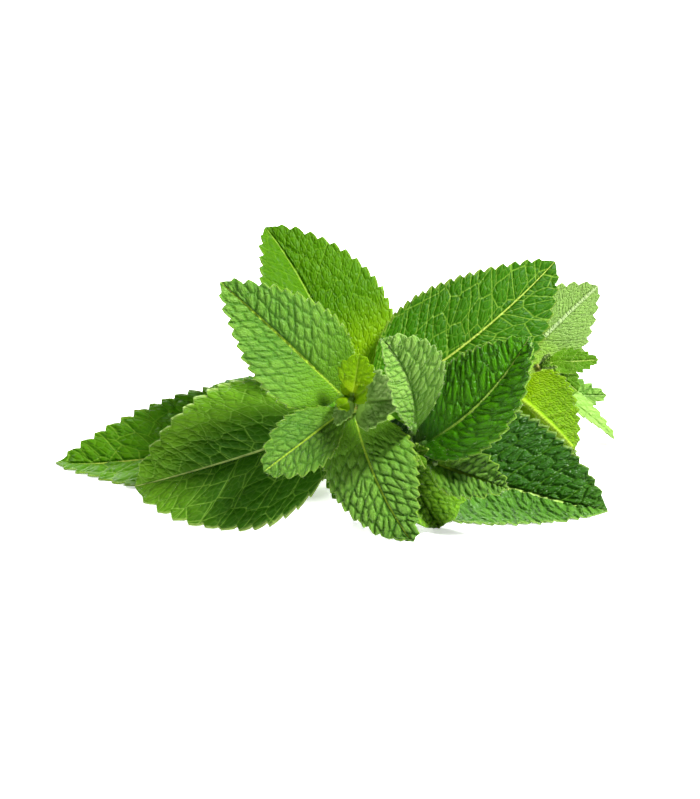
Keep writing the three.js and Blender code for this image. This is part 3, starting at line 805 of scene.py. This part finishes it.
# the square stem: thicker and brownish where leaves grow, cut across at its start
stemShape = {
    "rings": 8, "sides": 24, "seed": 99,  # rings from one node to the next
    "square": 4.5, "furrow": 0.05, "furrowPower": 6, "swell": 0.2, "swellReach": 1.8,
    "grain": (8, 16),  # units of the grain once round the stem, and millimetres along it to one unit
    "slant": (1, 2, 3),  # the faces are numbered along this line
}
stemLook = {
    "green": (0.1, 0.21, 0.01), "pale": (0.18, 0.3, 0.02), "knot": (0.2, 0.1, 0.03),
    "streaks": 2, "streakReach": (0.35, 0.65), "mottle": 300, "mottleReach": (0.3, 0.6),
    "knotReach": (0.2, 1), "knotShow": 0.55, "roughness": 0.42, "mottleRoughness": 0.1, "shine": 0.3,
    "bump": {"streaks": 0.12, "mottle": 0.05},
}


def stemPoint(nodes, t):
    # a smooth curve through the nodes, with t counted in nodes, and its direction
    k = min(int(t), len(nodes) - 2)
    f = t - k
    one, two = Vector(nodes[k]), Vector(nodes[k + 1])
    before = Vector(nodes[k - 1]) if k else one * 2 - two
    after = Vector(nodes[k + 2]) if k + 2 < len(nodes) else two * 2 - one
    start, end = (two - before) / 2, (after - one) / 2
    place = (one * (2 * f ** 3 - 3 * f ** 2 + 1) + start * (f ** 3 - 2 * f ** 2 + f)
             + two * (3 * f ** 2 - 2 * f ** 3) + end * (f ** 3 - f ** 2))
    way = (one * (6 * f * f - 6 * f) + start * (3 * f * f - 4 * f + 1)
           + two * (6 * f - 6 * f * f) + end * (3 * f * f - 2 * f))
    return place, way.normalized()


def stemSection(angle):
    # a rounded square with a light furrow down the middle of each side
    power = stemShape["square"]
    reach = (abs(cos(angle)) ** power + abs(sin(angle)) ** power) ** (-1 / power)
    return reach * (1 - stemShape["furrow"] * abs(cos(2 * angle)) ** stemShape["furrowPower"])


def stemMesh():
    # one end face for each shoot is extruded along it
    bm = bmesh.new()
    turn = bm.verts.layers.float.new("turn")
    knot = bm.verts.layers.float.new("knot")
    grain = bm.loops.layers.uv.new("grain")
    sides = stemShape["sides"]
    grainRound, grainAlong = stemShape["grain"]
    for shoot in shoots.values():
        nodes = shoot["nodes"]
        first, last = shoot["halfSide"]
        count = (len(nodes) - 1) * stemShape["rings"]
        far = 0
        before = Vector(nodes[0])
        face = None
        for k in range(count + 1):
            centre, along = stemPoint(nodes, k / stemShape["rings"])
            far += (centre - before).length
            before = centre
            side = along.cross(Vector((0, 0, 1))).normalized()
            up = side.cross(along)
            toNode = min((centre - Vector(node)).length for node in nodes[1:])
            close = exp(-(toNode / stemShape["swellReach"]) ** 2)
            half = (first + (last - first) * k / count) * (1 + stemShape["swell"] * close)
            if face is None:
                verts = bmesh.ops.create_circle(bm, cap_ends=True, segments=sides, radius=1)["verts"]
                for number, vert in enumerate(verts):
                    vert[turn] = number / sides
                face = verts[0].link_faces[0]
            else:
                moved = bmesh.ops.extrude_face_region(bm, geom=[face])["geom"]
                face = next(part for part in moved if isinstance(part, bmesh.types.BMFace))
            for vert in face.verts:
                angle = 2 * pi * vert[turn]
                vert.co = centre + (side * cos(angle) + up * sin(angle)) * (half * stemSection(angle))
                vert.co.z = max(vert.co.z, 0)
                vert[knot] = close
            if k:
                for vert in face.verts:
                    for loop in vert.link_loops:
                        loop[grain].uv = (vert[turn] * grainRound, far / grainAlong)
    bmesh.ops.recalc_face_normals(bm, faces=bm.faces)
    # extruding leaves the faces in no fixed order, but the hairs are drawn from them by number
    slant = Vector(stemShape["slant"])
    bm.faces.sort(key=lambda face: face.calc_center_median().dot(slant))
    return plainMesh(bm, "stem")


def stemMaterial():
    material, wire = newMaterial("stemSkin")
    place = wire.add("ShaderNodeTexCoord", None, None, 3)  # Object coordinates
    knot = wire.add("ShaderNodeAttribute", {"attribute_name": "knot"}, None, 2)
    grain = wire.add("ShaderNodeUVMap", {"uv_map": "grain"})
    streaks = wire.add("ShaderNodeTexNoise", None,
                       {"Vector": grain, "Scale": stemLook["streaks"], "Detail": 3.0})
    mottle = wire.add("ShaderNodeTexNoise", None,
                      {"Vector": place, "Scale": stemLook["mottle"], "Detail": 2.0})
    surface = streaks.fade(*stemLook["streakReach"]).blend(
        colour(stemLook["green"]), colour(stemLook["pale"]))
    brown = knot.fade(*stemLook["knotReach"]) * mottle.fade(*stemLook["mottleReach"])
    surface = (brown * stemLook["knotShow"]).blend(surface, colour(stemLook["knot"]))
    height = streaks * stemLook["bump"]["streaks"] + mottle * stemLook["bump"]["mottle"]
    bump = wire.add("ShaderNodeBump", None, {"Strength": 1.0, "Distance": mm, "Height": height})
    body = wire.add("ShaderNodeBsdfPrincipled", None, {
        "Base Color": surface, "Normal": bump, "Specular IOR Level": stemLook["shine"],
        "Roughness": mottle * stemLook["mottleRoughness"] + stemLook["roughness"]})
    wire.add("ShaderNodeOutputMaterial", None, {"Surface": body})
    return material


# short pale hairs, about half of them on the rims; per square millimetre, and in millimetres
hair = {
    "perArea": 0.55, "most": 420, "length": (0.35, 0.8), "radius": 0.018, "point": 0.2, "lean": 0.5,
    "onRims": 0.5, "rim": 0.94, "sunk": 0.08, "colour": (0.55, 0.68, 0.35), "roughness": 0.5,
}


def isRim(mesh):
    # which faces of a blade lie close to its rim
    share = mesh.uv_layers["share"].data

    def close(face):
        u, v = share[face.loop_start].uv
        return abs(v) > hair["rim"] and u > bladeShape["teeth"][0]

    return close


def addHairs(piece, onRim, seed):
    # a three-sided point for each hair, rooted in a face drawn at random
    draw = Random(seed)
    mesh = piece.data
    edges = list(filter(onRim(mesh), mesh.polygons)) if onRim else []
    others = list(mesh.polygons)
    area = sum(face.area for face in others) / mm ** 2 / 2
    bm = bmesh.new()
    for k in range(min(hair["most"], round(area * hair["perArea"]))):
        face = draw.choice(edges if edges and draw.random() < hair["onRims"] else others)
        length = draw.uniform(*hair["length"]) * mm
        lean = Vector([draw.uniform(-hair["lean"], hair["lean"]) for axis in range(3)])
        way = (face.normal + lean).normalized()
        root = face.center + way * (length / 2 - hair["sunk"] * mm)
        if root.z < length:  # too close to the table
            continue
        matrix = Matrix.Translation(root) @ way.to_track_quat("Z", "Y").to_matrix().to_4x4()
        bmesh.ops.create_cone(bm, cap_ends=True, segments=3, radius1=hair["radius"] * mm,
                              radius2=hair["radius"] * mm * hair["point"], depth=length, matrix=matrix)
    for face in bm.faces:
        face.material_index = len(mesh.materials)
    mesh.materials.append(materials["hair"])
    bm.from_mesh(mesh)
    bm.to_mesh(mesh)
    bm.free()
    mesh.shade_smooth()


def placed(piece, node):
    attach(piece, "root")
    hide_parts(node)
    return len(piece.data.polygons) * 2


def pieceName(node):
    first, *rest = node.split("_")
    return first + "".join(word.capitalize() for word in rest)


def makeLeaf(node, plan, seed):
    shoot, knot = plan["grows"]
    bm, layers = newLeafMesh()
    addLeaf(bm, layers, plan, Vector(shoots[shoot]["nodes"][knot]), seed)
    leaf = finished(pieceName(node), bm, [plan["finish"]])
    addHairs(leaf, isRim, seed)
    return placed(leaf, node)


def makeTip(node, plan, seed):
    before, end = (Vector(place) for place in shoots[plan["shoot"]]["nodes"][-2:])
    way = (end - before).normalized()
    bm, layers = newLeafMesh()
    skins = [plan["finish"]]
    for k, small in enumerate(plan["leaves"]):
        own = small.get("finish", plan["finish"])
        if own not in skins:
            skins.append(own)
        addLeaf(bm, layers, {**tipLeaf, **small}, end + way * tipGap, seed + k, 2 * skins.index(own))
    heading, pitch = degrees(atan2(way.y, way.x)), degrees(asin(way.z))
    inner = {**bud, **plan["bud"]}
    for k in range(inner["count"]):
        turn = 2 * pi * k / inner["count"]
        aim = (heading + inner["spread"] * cos(turn), pitch + inner["spread"] * sin(turn),
               degrees(turn) + 90)
        addLeaf(bm, layers, {**inner, "aim": aim}, end, seed + inner["firstSeed"] + k)
    tip = finished(pieceName(node), bm, skins)
    addHairs(tip, isRim, seed)
    return placed(tip, node)


def makeStem():
    stemPiece = bpy.data.objects.new("stem", stemMesh())
    bpy.context.collection.objects.link(stemPiece)
    toPlace(stemPiece.data)
    stemPiece.data.materials.append(materials["stem"])
    addHairs(stemPiece, None, stemShape["seed"])
    return placed(stemPiece, "stem")


makeCamera()
makeLamps()
makeFloor()
print("studio made")

quilt = makeQuilt()
materials = {name: [leafMaterial(name + side, look) for side, look in sideLooks(finish).items()]
             for name, finish in finishes.items()}
materials["stem"] = stemMaterial()
materials["hair"] = plainMaterial("hair", {
    "Base Color": colour(hair["colour"]), "Roughness": hair["roughness"]})
print("materials made")

total = sum(makeLeaf(node, plan, seed) for seed, (node, plan) in enumerate(leaves.items()))
print("leaves made, about", total, "triangles")
total += sum(makeTip(node, plan, seed) for seed, (node, plan) in enumerate(tips.items(), len(leaves)))
print("tips made")
total += makeStem()
print("stem made, in all about", total, "triangles")
